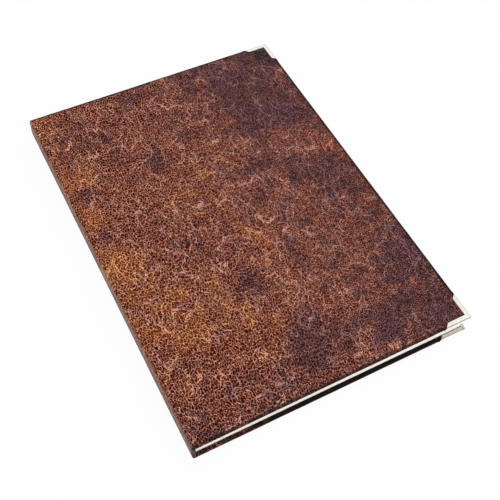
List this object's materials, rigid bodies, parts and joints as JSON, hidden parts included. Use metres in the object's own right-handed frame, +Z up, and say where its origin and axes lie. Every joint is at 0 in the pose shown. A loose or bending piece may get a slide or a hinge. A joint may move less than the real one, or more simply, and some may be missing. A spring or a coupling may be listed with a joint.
{
  "type": "faux leather notebook",
  "caption": "Large hardcover notebook wrapped in faux leather, with folded metal corners on both covers and hinged covers round one block of pages.",
  "frame": {"origin": "middle of the back cover's underside, on the surface that the notebook lies on", "axes": "+X from the spine to the fore-edge, +Y from tail to head, +Z up through the pages to the front cover"},
  "size_m": [0.213, 0.303, 0.0187],
  "materials": {
    "faux_leather": "mottled antique brown, pebble grain, satin",
    "corner_metal": "polished nickel plate",
    "pages": "matt cut edges",
    "endpaper": "matt",
    "lining_cloth": "open weave cotton",
    "board": "grey binder's board"
  },
  "bodies": {
    "back_cover": {"back_board": "board", "back_leather": "faux_leather", "back_endpaper": "endpaper", "back_head_corner": "corner_metal", "back_tail_corner": "corner_metal"},
    "book_block": {"page_block": "pages", "back_flyleaf": "endpaper", "front_flyleaf": "endpaper", "spine_lining": "lining_cloth", "spine_board": "board", "spine_leather": "faux_leather"},
    "front_cover": {"front_board": "board", "front_leather": "faux_leather", "front_endpaper": "endpaper", "front_head_corner": "corner_metal", "front_tail_corner": "corner_metal"}
  },
  "joints": [
    {"name": "back_joint", "type": "hinge", "parent": "back_cover", "child": "book_block", "pos_m": [-0.1065, 0, 0], "axis": [0, 1, 0], "range_deg": [-90, 0]},
    {"name": "front_joint", "type": "hinge", "parent": "book_block", "child": "front_cover", "pos_m": [-0.1065, 0, 0.0172], "axis": [0, -1, 0], "range_deg": [0, 179.5]}
  ]
}
